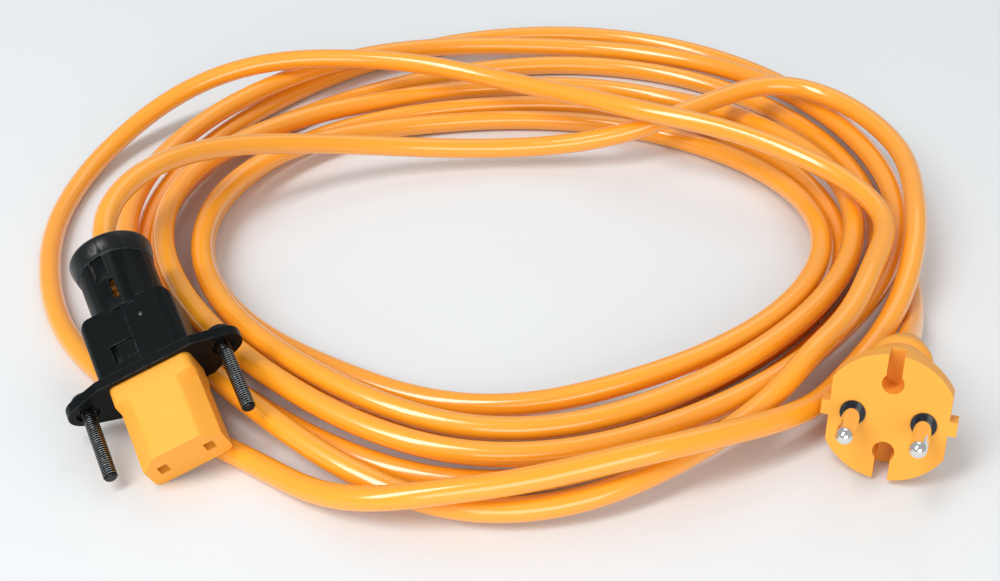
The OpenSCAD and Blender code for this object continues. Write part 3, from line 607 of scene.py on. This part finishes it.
# Two slots lead from the face into the hollow round the carrier
outer_slots = cut_slots(bm, 0)
room = bmesh.ops.create_cube(bm, size=1)["verts"]
bmesh.ops.scale(bm, vec=(room_w, room_h, -nose_wall - room_back), verts=room)
bmesh.ops.translate(bm, vec=(0, slot_y, (-nose_wall + room_back) / 2), verts=room)
inner_slots = cut_slots(bm, -nose_wall)
for side in (-1, 1):
    rims = [e for e in outer_slots + inner_slots if e.verts[0].co.x * side > 0]
    bmesh.ops.bridge_loops(bm, edges=rims)

# Behind the grip the tail turns round, slims towards its end and carries three rings
bmesh.ops.delete(bm, geom=faces_at(bm, grip_end), context="FACES_ONLY")
bmesh.ops.delete(bm, geom=[e for e in bm.edges if not e.link_faces], context="EDGES")
rim = [e for e in bm.edges if e.is_boundary]
loop = new_circle(bm, grip_end, tail_r, 32)
bmesh.ops.bridge_loops(bm, edges=rim + loop)
slimming = (tail_r - tail_end_r) / (grip_end - tail_z)
for k in (3, 2, 1):
    middle = tail_z + k * ring_step
    for z, depth in (
        (middle + ring_w / 2, 0), (middle + ring_w / 2 - ring_edge, ring_depth),
        (middle - ring_w / 2 + ring_edge, ring_depth), (middle - ring_w / 2, 0),
    ):
        loop = next_ring(bm, loop, z, tail_end_r + slimming * (z - tail_z) - depth)
loop = next_ring(bm, loop, tail_z + tail_edge, tail_end_r)
loop = next_ring(bm, loop, tail_z, tail_end_r - tail_edge)
bmesh.ops.edgeloop_fill(bm, edges=loop)

moulding = new_finish(
    "connector_moulding", (0.93, 0.395, 0.04), 0.45,
    {"scale": 60, "drift": 0.06, "grain": 3200, "waves": 300, "wave_share": 0.3, "depth": 0.02,
     "worn_and_glint": (0.97, 0.5, 0.1, 1), "wear_and_glint": 0.35, "dust": 0.05},
    Specular_IOR_Level=0.3,
)
connector = finish_piece(
    "connector_moulding", bm, connector_place, moulding, "connector_moulding", "cord_set",
    "connector_body",
)
soften(connector, 0.35)

# ---- Inside the connector ----
# A carrier of dark red phenolic holds two folded brass contacts. Each is crimped on a brown or
# blue core with a stranded copper conductor. The moulded shapes are right as they are.
carrier_finish = new_finish(
    "carrier_plastic", (0.42, 0.08, 0.03), 0.55, {"drift": 0.15, "depth": 0.02, "wear_and_glint": 0.2},
)
brass = new_finish(
    "contact_brass", (0.76, 0.55, 0.24), 0.28,
    {"scale": 300, "drift": 0.25, "grain": 1500, "waves": 500, "depth": 0.006,
     "worn_and_glint": (0.9, 0.75, 0.45, 1), "wear_and_glint": 0.6, "dust": 0.0},
    Metallic=1,
)
brown = new_finish(
    "brown_insulation", (0.17, 0.06, 0.025), 0.38, {"scale": 200, "drift": 0.12, "depth": 0.01},
)
blue = new_finish(
    "blue_insulation", (0.04, 0.14, 0.5), 0.38, {"scale": 200, "drift": 0.12, "depth": 0.01},
)


def stranded(name, colour, roughness):
    """Bare copper wires that are laid up in a slow twist, painted darker in the grooves between
    them as painted shade.
    """
    material = bpy.data.materials.new(name)
    material.use_nodes = True
    tree = material.node_tree
    shader = tree.nodes["Principled BSDF"]
    shader.inputs["Metallic"].default_value = 1
    place = put(tree, "TexCoord").outputs["Object"]
    turned = put(tree, "Mapping", {"Vector": place, "Rotation": (0.6, 0.3, 0.9)})
    wires = put(
        tree, "TexWave",
        {"Vector": turned.outputs[0], "Scale": 1400, "Distortion": 1.5, "Detail": 1},
    )
    tone = put(
        tree, "Group",
        {"Place": place, "Colour": (*colour, 1), "Scale": 400, "Drift": 0.3,
         "Roughness": roughness},
        node_tree=tone_drift,
    )
    # The grooves between the wires are painted dark brown as painted shade, not as a colour of the
    # copper.
    painted_groove_shade = put(
        tree, "Mix", {0: wires.outputs[0], 6: (0.3, 0.1, 0.04, 1), 7: tone.outputs["Colour"]},
        data_type="RGBA",
    )
    tree.links.new(painted_groove_shade.outputs[2], shader.inputs["Base Color"])
    tree.links.new(tone.outputs["Roughness"], shader.inputs["Roughness"])
    bump = put(
        tree, "Bump", {"Strength": 0.8, "Distance": 0.1 * mm, "Height": wires.outputs[0]}
    )
    tree.links.new(bump.outputs["Normal"], shader.inputs["Normal"])
    return material


def dress(name, material, width=0, clamp=True):
    """Gives a CAD node that keeps its shape its real finish."""
    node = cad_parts[name]
    node.data.materials.clear()
    node.data.materials.append(material)
    if width:
        soften(node, width, solid=True, clamp=clamp)


copper = stranded("copper", (0.86, 0.42, 0.24), 0.3)
dress("contact_carrier", carrier_finish, 0.15)
for side, core, insulation in (("left", "brown", brown), ("right", "blue", blue)):
    dress("contact_" + side, brass)
    dress("connector_core_" + core, insulation)
    dress("connector_conductor_" + core, copper)

# ---- Bracket halves ----
# Two halves of black nylon clasp the connector: a plate with an ear on each side, a box round
# the grip and a flanged sleeve round the tail. Two tongues of the right half snap into windows.
flange_l = 6.5
flange_polish = 0.5
polish_fade = 0.3
rounding_w = 0.15
# Its pale grey edge tint is a painted highlight: it stands for glints along the edges and the seam,
# not for wear.
nylon = new_finish(
    "bracket_plastic", (0.003, 0.0045, 0.005), 0.36,
    {"scale": 90, "drift": 0.12, "grain": 2200, "waves": 260, "wave_share": 0.35, "depth": 0.03,
     "worn_and_glint": (0.09, 0.1, 0.105, 1), "wear_and_glint": 0.8, "reach": 0.3, "dust": 0.004},
    Specular_IOR_Level=0.09,
)

# The flange was polished in its mould, so it shines more than the grained box
nylon_tree = nylon.node_tree
nylon_shader = nylon_tree.nodes["Principled BSDF"]
flange_front = connector_place @ Vector((0, 0, (sleeve_exit_z + flange_l) * mm))
forwards = (connector_place.to_3x3() @ Vector((0, 0, 1))).normalized()
object_place = put(nylon_tree, "TexCoord").outputs["Object"]
from_flange = put(
    nylon_tree, "VectorMath", {0: object_place, 1: flange_front}, operation="SUBTRACT"
)
ahead = put(
    nylon_tree, "VectorMath", {0: from_flange.outputs["Vector"], 1: forwards},
    operation="DOT_PRODUCT",
)
polish = put(
    nylon_tree, "MapRange",
    {"Value": ahead.outputs["Value"], "From Min": 0, "From Max": polish_fade * mm,
     "To Min": flange_polish, "To Max": 0},
)
nylon_tree.links.new(polish.outputs[0], nylon_shader.inputs["Coat Weight"])
nylon_shader.inputs["Coat Roughness"].default_value = 0.3
dress("bracket_left_half", nylon, rounding_w, clamp=False)
dress("bracket_right_half", nylon, rounding_w, clamp=False)

# The box's window is blind: a thin web closes it under the tongue's tip
web_w = 3
web_t = 0.25
web_l = 5.6
web_edge = 0.05
web_x = -5.9
web_y = 8.76
catch_z = -34.4
bm = bmesh.new()
bmesh.ops.create_cube(bm, size=1)
bmesh.ops.scale(bm, vec=(web_w, web_t, web_l), verts=bm.verts)
bmesh.ops.translate(bm, vec=(web_x, web_y, catch_z), verts=bm.verts)
bmesh.ops.bevel(
    bm, geom=bm.edges[:], offset=web_edge, segments=2, profile=0.5, material=-1,
    affect="EDGES",
)
finish_piece(
    "bracket_window_web", bm, connector_place, nylon, "bracket_plastic", "cord_set"
)

# A small glossy pip on the right half, where its mould was filled
glossy_nylon = new_finish(
    "glossy_nylon", (0.004, 0.005, 0.0055), 0.14,
    {"scale": 300, "drift": 0.1, "grain": 1500, "waves": 300, "depth": 0.003, "wear_and_glint": 0.0,
     "dust": 0.004},
    Coat_Weight=0.8, Coat_Roughness=0.12,
)
pip_x = 4.3
pip_z = -43
box_top = 10.1
pip_r = 0.75
pip_h = 0.4
pip_root = 0.1
dome_step = 15
bm = bmesh.new()
loop = new_circle(bm, -pip_root, pip_r + pip_root, 20, filled=True)
loop = next_ring(bm, loop, 0, pip_r + pip_root / 2)
for step in range(1, 6):
    a = math.radians(step * dome_step)
    loop = next_ring(bm, loop, pip_h * math.sin(a), pip_r * math.cos(a))
bmesh.ops.edgeloop_fill(bm, edges=loop)
at_pip = connector_place @ Matrix.Translation(Vector((pip_x, box_top, pip_z)) * mm)
finish_piece(
    "bracket_pip", bm, at_pip @ Matrix.Rotation(-math.pi / 2, 4, "X"), glossy_nylon,
    "bracket_plastic", "cord_set",
)

# ---- Bracket screws ----
# Two blackened M4 machine screws, 25 mm long, with a pan head and a hexagon socket. They are
# put in from behind the plate; their threads are rolled and stand free in front of it.
screw_x = 21
screw_y = 1.8
head_back = -29.1
screw_l = 25
thread_start = 2.1
thread_r = 2
core_r = 1.62
neck_r = 1.75
pitch = 0.7
flank_start = 0.1
crest_start = 0.28
crest_end = 0.45
crest_slack = 0.06
flank_end = 0.63
thread_steps = 24
thread_merge = 0.005
head_r = 3.9
head_h = 2.8
head_edge = 0.15
dome_h = 1.68
socket_r = 1.44
socket_depth = 1.7
tip_l = 0.5
overlap = 0.05

blackened = new_finish(
    "screw_steel", (0.02, 0.022, 0.026), 0.3,
    {"scale": 500, "drift": 0.2, "grain": 1800, "waves": 400, "wave_share": 0.4, "depth": 0.004,
     "worn_and_glint": (0.15, 0.15, 0.15, 1), "wear_and_glint": 0.5, "reach": 0.2, "dust": 0.02},
    Metallic=0.9,
)
rubbed_steel = new_finish(
    "rubbed_steel", (0.42, 0.44, 0.44), 0.26,
    {"scale": 900, "drift": 0.6, "grain": 1800, "waves": 900, "wave_share": 0.4, "depth": 0.004,
     "wear_and_glint": 0.0, "dust": 0.02},
    Metallic=1,
)
for name, side in (("left", -1), ("right", 1)):
    # One pitch of the thread's outline, wound up into a helix
    bm = bmesh.new()
    outline = [
        (core_r, 0), (core_r, flank_start), (thread_r, crest_start), (thread_r, crest_end),
        (core_r, flank_end), (core_r, pitch),
    ]
    profile = [bm.verts.new((r, 0, z)) for r, z in outline]
    chain = [bm.edges.new(pair) for pair in zip(profile, profile[1:])]
    turns = math.ceil((screw_l - thread_start) / pitch) + 3
    bmesh.ops.spin(
        bm, geom=profile + chain, cent=(0, 0, 0), axis=(0, 0, 1), angle=math.tau * turns,
        dvec=(0, 0, pitch / thread_steps), steps=turns * thread_steps,
    )
    bmesh.ops.remove_doubles(bm, verts=bm.verts, dist=thread_merge)
    bmesh.ops.translate(bm, vec=(0, 0, thread_start - pitch * 1.5), verts=bm.verts)
    # The helix runs past both ends of the thread and is cut off flat there
    for height, outer in ((thread_start, False), (screw_l, True)):
        cut = bmesh.ops.bisect_plane(
            bm, geom=all_of(bm), plane_co=(0, 0, height), plane_no=(0, 0, 1),
            clear_outer=outer, clear_inner=not outer,
        )["geom_cut"]
        rim = [e for e in cut if isinstance(e, bmesh.types.BMEdge)]
        bmesh.ops.edgeloop_fill(bm, edges=rim)
    # The tip is turned to a short cone
    for vert in bm.verts:
        room_left = thread_r - tip_l + max(0, screw_l - vert.co.z)
        if vert.co.xy.length > room_left:
            vert.co.xy = vert.co.xy.normalized() * room_left
    # Head with its socket, and the plain neck
    socket = new_circle(bm, -head_h, socket_r, 6)
    loop = new_circle(bm, -head_h, head_r - dome_h, 36)
    bmesh.ops.bridge_loops(bm, edges=socket + loop)
    for step in range(1, 7):
        a = math.radians(step * dome_step)
        z = -head_h + dome_h * (1 - math.cos(a))
        loop = next_ring(bm, loop, z, head_r - dome_h * (1 - math.sin(a)))
    for z, r in (
        (-head_edge, head_r), (0, head_r - head_edge), (0, neck_r),
        (thread_start + overlap, neck_r),
    ):
        loop = next_ring(bm, loop, z, r)
    bmesh.ops.edgeloop_fill(bm, edges=loop)
    loop = next_ring(bm, socket, -head_h + socket_depth, socket_r)
    bmesh.ops.edgeloop_fill(bm, edges=loop)
    at_screw = connector_place @ Matrix.Translation(
        Vector((side * screw_x, screw_y, head_back)) * mm
    )
    # The blackening is rubbed off along the thread's crest
    for face in bm.faces:
        reach = min(vert.co.xy.length for vert in face.verts)
        if face.calc_center_median().z > thread_start and reach > thread_r - crest_slack:
            face.material_index = 1
    screw = finish_piece(
        name + "_screw_threaded", bm, at_screw, blackened, "screw_steel", name + "_screw",
        "screw_" + name,
    )
    screw.data.materials.append(rubbed_steel)

# ---- Plug moulding ----
# The plug is one orange PVC moulding: a round rim with two flats, two keyhole notches for the
# socket's earth clips and a rib on each side, then a sloping body and a ringed neck.
plug_r = 18.5
flat_x = 16
rim_t = 5.5
body_step = 1.25
notch_r = 10.1
notch_end_r = 2.95
notch_half = 2.05
notch_depth = 9
straight_end = -9.5
slope_end = -19.5
slope_r = 8.6
rib_half = 2.1
rib_out = 2.2

# Height and radius down the neck: a groove, a swollen ring to pull by, and a taper to the cord
neck_outline = [
    (-20.1, 7.9), (-20.7, 8.0), (-21.0, 8.6), (-21.7, 9.1), (-22.8, 9.35), (-24.0, 9.35),
    (-25.1, 9.1), (-25.9, 8.5), (-26.2, 7.9), (-26.9, 7.75), (-30.5, 7.1), (-34.4, 6.5),
    (-34.9, 6.2), (-plug_l, 5.7),
]

# What lies further out than this is the rim and no notch
rim_inside = plug_r - 5

# A quarter of the face's outline, mirrored twice: flat, round rim and half a notch
bm = bmesh.new()
flat_mid = bm.verts.new((flat_x, 0, 0))
corner = bm.verts.new((flat_x, math.sqrt(plug_r**2 - flat_x**2), 0))
bm.edges.new((flat_mid, corner))
sweep = math.acos(notch_half / plug_r) - math.acos(flat_x / plug_r)
bmesh.ops.spin(bm, geom=[corner], cent=(0, 0, 0), axis=(0, 0, 1), angle=sweep, steps=18)
bm.verts.ensure_lookup_table()
lip = bm.verts[-1]
half_angle = math.asin(notch_half / notch_end_r)
throat = bm.verts.new((notch_half, notch_r + notch_end_r * math.cos(half_angle), 0))
bm.edges.new((lip, throat))
bmesh.ops.spin(
    bm, geom=[throat], cent=(0, notch_r, 0), axis=(0, 0, 1), angle=half_angle - math.pi, steps=14
)
for axis in ("X", "Y"):
    bmesh.ops.mirror(bm, geom=bm.verts[:] + bm.edges[:], axis=axis, merge_dist=merge_gap)
bmesh.ops.remove_doubles(bm, verts=bm.verts, dist=merge_gap)
bmesh.ops.edgeloop_fill(bm, edges=bm.edges[:])
grown(bm, bm.faces[:], (0, 0, -rim_t))

# A rib in the middle of each flat
for level in (-rib_half, rib_half):
    sides = [f for f in bm.faces if abs(abs(f.calc_center_median().x) - flat_x) < near]
    split_faces(bm, sides, (0, level, 0), (0, 1, 0))
for side in (-1, 1):
    rib = []
    for face in bm.faces:
        middle = face.calc_center_median()
        if abs(middle.x - side * flat_x) < near and abs(middle.y) < rib_half:
            rib.append(face)
    grown(bm, rib, (side * rib_out, 0, 0))

# Behind the rim the body is smaller all round, but the notches run on at their full width
ends = [max(faces_at(bm, -rim_t), key=lambda face: len(face.verts))]
ends = grown(bm, ends, (0, 0, 0))
for vert in {v for face in ends for v in face.verts}:
    if vert.co.xy.length > rim_inside:
        across = abs(vert.co.x)
        vert.co.xy *= (plug_r - body_step) / plug_r
        if across <= notch_half + near:
            vert.co.x = math.copysign(across, vert.co.x)
        if across > flat_x - near:
            vert.co.x = math.copysign(flat_x - body_step, vert.co.x)
bmesh.ops.remove_doubles(bm, verts=bm.verts, dist=merge_gap)
ends = [max(faces_at(bm, -rim_t), key=lambda face: len(face.verts))]
ends = grown(bm, ends, (0, 0, rim_t - notch_depth))

# Each notch gets its floor, and the body goes on and slopes in to the neck
bmesh.ops.delete(bm, geom=ends, context="FACES_ONLY")
open_edges = [e for e in bm.edges if e.is_boundary]
outer_loop = [e for e in open_edges if all(v.co.xy.length > rim_inside for v in e.verts)]
for side in (-1, 1):
    walls = [
        e for e in open_edges
        if e not in outer_loop and (e.verts[0].co.y + e.verts[1].co.y) * side > 0
    ]
    tips = {v for e in walls for v in e.verts if v.co.xy.length > rim_inside}
    closing = bm.edges.new(tuple(tips))
    bmesh.ops.edgeloop_fill(bm, edges=walls + [closing])
    outer_loop.append(closing)
verts, loop = drawn_out(bm, outer_loop)
for vert in verts:
    vert.co.z = straight_end
verts, loop = drawn_out(bm, loop)
for vert in verts:
    spoke = vert.co.xy.normalized() * slope_r
    vert.co = (spoke.x, spoke.y + neck_rise, slope_end)
for z, r in neck_outline:
    loop = next_ring(bm, loop, z, r, neck_rise)
bmesh.ops.edgeloop_fill(bm, edges=loop)

plug_orange = new_finish(
    "plug_moulding", (0.88, 0.375, 0.045), 0.45,
    {"scale": 60, "drift": 0.06, "grain": 3000, "waves": 260, "wave_share": 0.35, "depth": 0.02,
     "worn_and_glint": (0.97, 0.54, 0.12, 1), "wear_and_glint": 0.35, "dust": 0.05},
    Specular_IOR_Level=0.3,
)
plug = finish_piece(
    "plug_moulding", bm, plug_place, plug_orange, "plug_moulding", "cord_set", "plug_body"
)
soften(plug, 0.2, clamp=False)

# ---- Pin bridge ----
# A glossy black moulding that holds both pins at their distance; only a collar round each pin
# shows in front of the face.
gloss_black = new_finish(
    "bridge_plastic", (0.008, 0.01, 0.016), 0.16,
    {"scale": 200, "drift": 0.08, "grain": 1500, "waves": 300, "depth": 0.004,
     "worn_and_glint": (0.03, 0.035, 0.045, 1), "wear_and_glint": 0.5, "dust": 0.02},
    Specular_IOR_Level=0.45,
)
dress("pin_bridge", gloss_black, 0.25)

# ---- Pins ----
# Two round pins of turned brass with bright nickel plate. Each is slimmer inside the bridge,
# ends in a dome in front, and is crimped on its conductor behind.
pin_x = 9.5
pin_r = 2.4
pin_l = 19
root_r = 2.1
collar_h = 0.6
crimp_r = 1.7
bridge_back = -7
crimp_end = -11.5
crimp_edge = 0.2
shoulder_edge = 0.12
root_end = 0.05
pin_dome_step = 7.5

nickel = new_finish(
    "pin_nickel", (0.8, 0.79, 0.76), 0.07,
    {"scale": 250, "drift": 0.06, "grain": 2600, "waves": 900, "wave_share": 0.4, "depth": 0.002,
     "worn_and_glint": (0.86, 0.84, 0.8, 1), "wear_and_glint": 0.2, "dust": 0.04},
    Metallic=1,
)
for name, side in (("left", -1), ("right", 1)):
    bm = bmesh.new()
    loop = new_circle(bm, crimp_end, crimp_r - crimp_edge, 48, filled=True)
    for z, r in (
        (crimp_end + crimp_edge, crimp_r), (bridge_back, crimp_r), (bridge_back, root_r),
        (collar_h - root_end, root_r), (collar_h, pin_r - shoulder_edge),
        (collar_h + shoulder_edge, pin_r),
    ):
        loop = next_ring(bm, loop, z, r)
    for step in range(12):
        a = math.radians(step * pin_dome_step)
        loop = next_ring(bm, loop, pin_l - pin_r + pin_r * math.sin(a), pin_r * math.cos(a))
    bmesh.ops.edgeloop_fill(bm, edges=loop)
    at_pin = plug_place @ Matrix.Translation(Vector((side * pin_x, 0, 0)) * mm)
    finish_piece(
        "plug_pin_" + name, bm, at_pin, nickel, "pin_nickel", "cord_set", "pin_" + name
    )

# ---- Inside the plug ----
# The cord's brown and blue cores part inside the neck. Each is PVC over stranded copper, which
# is bared and crimped in a pin's hollow end before the plug is moulded round it all.
for core, insulation in (("brown", brown), ("blue", blue)):
    dress("plug_core_" + core, insulation)
    dress("plug_conductor_" + core, copper)

# ---- Floor and light ----
# A plain pale table top under a soft sky. A tall window on the left draws long streaks on the
# sheath, and two wide lamps, behind and in front, fill the shadows.
table_colour = (0.75, 0.775, 0.785, 1)
table_roughness = 0.6
floor_mesh = bpy.data.meshes.new("floor")
bm = bmesh.new()
bmesh.ops.create_grid(bm, x_segments=1, y_segments=1, size=4)
bm.to_mesh(floor_mesh)
bm.free()
floor = bpy.data.objects.new("floor", floor_mesh)
bpy.context.scene.collection.objects.link(floor)
table = bpy.data.materials.new("floor")
table.use_nodes = True
table_shader = table.node_tree.nodes["Principled BSDF"]
table_place = put(table.node_tree, "TexCoord").outputs["Object"]
table_tone = put(
    table.node_tree, "Group",
    {"Place": table_place, "Colour": table_colour, "Scale": 3, "Drift": 0.03},
    node_tree=tone_drift,
)
table.node_tree.links.new(table_tone.outputs["Colour"], table_shader.inputs["Base Color"])
table_shader.inputs["Roughness"].default_value = table_roughness
floor_mesh.materials.append(table)

world = bpy.data.worlds.new("world")
world.use_nodes = True
sky = world.node_tree.nodes["Background"]
sky.inputs["Color"].default_value = (0.96, 0.98, 1, 1)
sky.inputs["Strength"].default_value = 0.48
bpy.context.scene.world = world


def soft_light(name, place, target, width, depth, power):
    """A rectangular lamp with a soft edge that faces its target."""
    data = bpy.data.lights.new(name, "AREA")
    data.shape = "RECTANGLE"
    data.size = width
    data.size_y = depth
    data.energy = power
    light = bpy.data.objects.new(name, data)
    light.location = place
    light.rotation_euler = (Vector(target) - Vector(place)).to_track_quat("-Z", "Y").to_euler()
    bpy.context.scene.collection.objects.link(light)


soft_light("window", (-0.72, -0.6, 1.46), coil_middle, 0.45, 1.3, 21)
soft_light("ceiling", (0.5, 1.1, 1.5), coil_middle, 1, 1, 3)
soft_light("front", (0.35, -1.6, 0.7), coil_middle, 1.4, 0.9, 13)

bpy.context.scene.view_settings.view_transform = "Standard"
